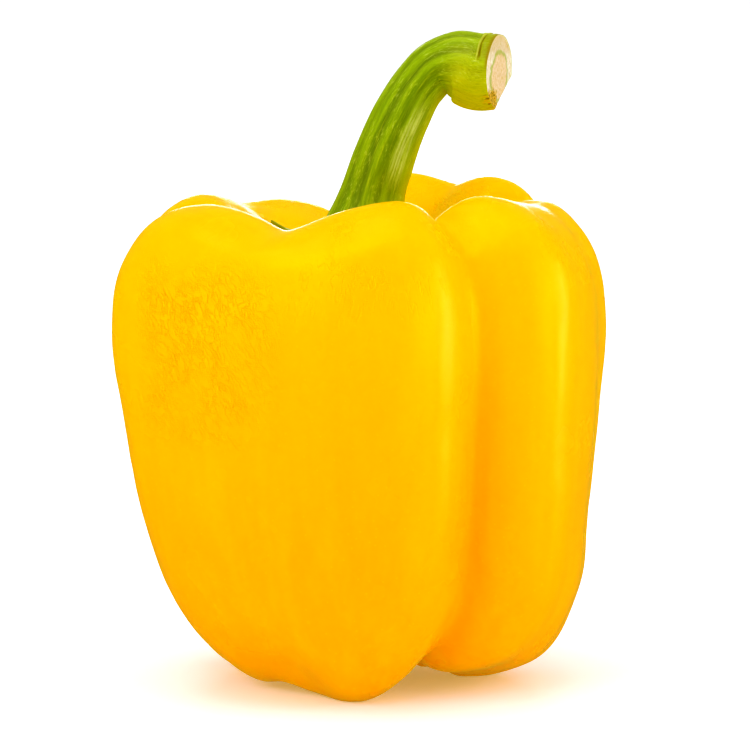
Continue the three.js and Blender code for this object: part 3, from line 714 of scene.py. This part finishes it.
    # the upper part of the wood is browner and torn
    upper_part = k.range(k.math("ADD", k.split(on_cut)[0], k.math("MULTIPLY", k.math("SUBTRACT", k.noise(on_cut, 5.0, 3.0), 0.5), 0.5)), -0.30, -0.65)
    face = k.mix(k.math("MULTIPLY", upper_part, 0.55), face, rgb(0.60, 0.38, 0.20))
    face = k.mix(k.range(k.math("ABSOLUTE", k.math("SUBTRACT", wob, 0.66)), 0.085, 0.01, 0.0, 0.80), face, rgb(0.33, 0.38, 0.13))
    face = k.mix(k.range(rim_at, 0.955, 1.01), face, rgb(0.80, 0.78, 0.42))
    cx, cy, cz = k.split(on_cut)
    scab_d = k.vmath("DISTANCE", on_cut, (0.88, -0.42, 0.0))
    scab = k.range(k.math("ADD", scab_d, k.math("MULTIPLY", k.math("SUBTRACT", k.noise(on_cut, 7.0, 4.0, 0.7), 0.5), 0.45)), 0.50, 0.34)
    scab_c = k.mix(k.range(k.noise(on_cut, 17.0, 2.0), 0.40, 0.52), rgb(0.10, 0.036, 0.005), rgb(0.66, 0.33, 0.060))
    face = k.mix(k.math("MULTIPLY", scab, 0.92), face, scab_c)
    outer_scab = k.math("MULTIPLY", k.range(s, length - 0.20, length - 0.04), k.math("MULTIPLY", k.range(k.math("ADD", k.math("MULTIPLY", ca, 0.88), k.math("MULTIPLY", sa, -0.47)), 0.84, 0.95), k.range(k.noise(straight, 12.0, 3.0), 0.4, 0.6)))
    colour = k.mix(k.math("MULTIPLY", outer_scab, 0.85), colour, scab_c)
    colour = k.mix(k.range(cut, 0.35, 0.65), colour, face)

    h = k.math("ADD", k.math("MULTIPLY", streak, 0.9), k.math("MULTIPLY", fine_streak, 0.65))
    h = k.math("ADD", h, k.math("MULTIPLY", speck, 0.75))
    h = k.math("ADD", h, k.math("MULTIPLY", k.noise(co, 2200.0, 2.0), 0.30))
    h_cut = k.math("ADD", k.math("MULTIPLY", fibre, 1.3), k.math("MULTIPLY", k.noise(co, 1700.0, 3.0, 0.7), 0.6))
    height = k.mix(cut, h, h_cut)
    normal = k.bump(height, 0.00022, 0.9)
    rough = k.range(k.noise(straight, 6.0, 3.0), 0.3, 0.7, 0.30, 0.46)
    rough = k.math("ADD", rough, k.math("MULTIPLY", cut, 0.35))
    k.shader(
        Base_Color=colour,
        Roughness=rough,
        Normal=normal,
        IOR=1.42,
        Specular_IOR_Level=0.5,
        Subsurface_Weight=0.10,
        Subsurface_Radius=(0.6, 1.0, 0.15),
        Subsurface_Scale=0.0012,
    )
    return m


fruit.data.materials.append(fruit_material())
stem.data.materials.append(stem_material())

for piece, cad_node, slot in ((fruit, "fruit", "fruit_skin"), (stem, "stem", "stem_skin")):
    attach(piece, "root")
    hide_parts(cad_node)

# ------------------------------------------------------------------ floor, light and camera

def plane(name, size, z):
    mesh = bpy.data.meshes.new(name)
    h = size / 2
    mesh.from_pydata([(-h, -h, z), (h, -h, z), (h, h, z), (-h, h, z)], [], [(0, 1, 2, 3)])
    obj = bpy.data.objects.new(name, mesh)
    bpy.context.scene.collection.objects.link(obj)
    return obj


floor = plane("floor", 8.0, 0.0)
fm, ft = new_material("white_floor")
fn = Net(ft)
fn.shader(Base_Color=rgb(0.93, 0.93, 0.93), Roughness=0.6, Specular_IOR_Level=0.15, Emission_Color=rgb(1.0, 1.0, 1.0), Emission_Strength=0.20)
floor.data.materials.append(fm)
floor.visible_glossy = False


def ring_wall(name, radius, height, sides):
    mesh = bpy.data.meshes.new(name)
    turn = [2 * math.pi * i / sides for i in range(sides)]
    low = [(radius * math.cos(a), radius * math.sin(a), -0.01) for a in turn]
    high = [(x, y, height) for x, y, _ in low]
    mesh.from_pydata(low + high, [], [((i + 1) % sides, i, sides + i, sides + (i + 1) % sides) for i in range(sides)])
    obj = bpy.data.objects.new(name, mesh)
    bpy.context.scene.collection.objects.link(obj)
    return obj


# A pale wall round the floor, which only the camera sees.
backdrop = ring_wall("backdrop", 3.9, 4.0, 96)
bm, bt = new_material("white_wall")
bn = Net(bt)
bn.shader(Base_Color=rgb(0.80, 0.80, 0.80), Roughness=0.9, Specular_IOR_Level=0.0, Emission_Color=rgb(1.0, 1.0, 1.0), Emission_Strength=0.95)
backdrop.data.materials.append(bm)
backdrop.visible_diffuse = backdrop.visible_glossy = backdrop.visible_transmission = backdrop.visible_shadow = False


def area(name, location, target, size, power, colour=(1, 1, 1)):
    light = bpy.data.lights.new(name, "AREA")
    light.shape = "RECTANGLE"
    light.size, light.size_y = size
    light.energy = power
    light.color = colour
    obj = bpy.data.objects.new(name, light)
    bpy.context.scene.collection.objects.link(obj)
    obj.visible_camera = False
    obj.location = location
    direction = np.array(target, float) - np.array(location, float)
    from mathutils import Vector
    obj.rotation_mode = "QUATERNION"
    obj.rotation_quaternion = Vector(direction).to_track_quat("-Z", "Y")
    return obj


world = bpy.data.worlds.new("studio")
bpy.context.scene.world = world
world.use_nodes = True
wt = world.node_tree
wn = Net(wt)
# A soft tent: bright above and at the sides, dimmer low down, in front and behind.
way = wt.nodes.new("ShaderNodeTexCoord").outputs["Generated"]
_, depthwise, sky = wn.split(way)
tent = wn.range(sky, -0.05, 0.55, 0.42, 1.10)
tent = wn.math("MULTIPLY", tent, wn.range(depthwise, -0.45, -0.95, 1.0, 0.40))
tent = wn.math("MULTIPLY", tent, wn.range(depthwise, 0.15, 0.65, 1.0, 0.62))
# The bright right-hand wall of the tent.
wall = wn.vmath("DOT_PRODUCT", way, (0.970, -0.225, -0.090))
tent = wn.math("ADD", tent, wn.range(wall, 0.66, 0.92, 0.0, 0.80))
wt.nodes["Background"].inputs["Color"].default_value = (1, 1, 1, 1)
wn.put(wt.nodes["Background"].inputs["Strength"], tent)
area("overhead", (-0.15, 0.00, 1.30), (0, 0, 0.04), (0.85, 0.85), 5.8)
area("right_box", (1.0, -0.12, 0.30), (0, 0, 0.05), (0.55, 0.42), 1.6)
area("left_box", (-0.70, -0.88, 0.66), (0, 0, 0.05), (0.5, 0.6), 3.7)
# Cards that only show in the gloss: at the right, above left, and a strip behind for the rims.
for card in (
    area("right_card", (0.98, 0.17, 0.10), (0, 0, 0.05), (0.32, 0.55), 3.0),
    area("top_card", (-0.42, -0.42, 1.10), (0, 0, 0.07), (0.50, 0.50), 4.0),
    area("rim_card", (0.02, 1.00, 0.18), (0, 0, 0.08), (0.34, 0.07), 0.60),
    area("left_card", (-0.84, -0.60, 0.20), (0, 0, 0.05), (0.90, 0.80), 2.6),
    area("right_front_card", (0.90, -0.45, 0.10), (0, 0, 0.05), (0.55, 0.60), 2.6),
):
    card.visible_diffuse = False

scene = bpy.context.scene
scene.view_settings.view_transform = "Standard"
scene.view_settings.look = "None"
scene.view_settings.exposure = 0.0
# A film-like response that deepens saturated colours and leaves white alone.
scene.view_settings.use_curve_mapping = True
curves = scene.view_settings.curve_mapping
blue = curves.curves[2]
for x, y in ((0.03, 0.0), (0.12, 0.015), (0.25, 0.10), (0.5, 0.42)):
    blue.points.new(x, y)
curves.update()

camera = bpy.data.cameras.new("camera")
camera.sensor_width = 36.0
camera.lens = 4930.2 * 36.0 / 750.0
camera.clip_start, camera.clip_end = 0.05, 50.0
camera_obj = bpy.data.objects.new("camera", camera)
scene.collection.objects.link(camera_obj)
elevation, distance = math.radians(7.5), 0.900
target = np.array([(3.05 + AXIS[0]) / 1000, AXIS[1] / 1000, 56.2 / 1000])
back = np.array([0.0, -math.cos(elevation), math.sin(elevation)])
camera_obj.location = target + back * distance
camera_obj.rotation_mode = "XYZ"
camera_obj.rotation_euler = (math.pi / 2 - elevation, 0, 0)
scene.camera = camera_obj

# ------------------------------------------------------------------ final update of the scene

bpy.context.view_layer.update()
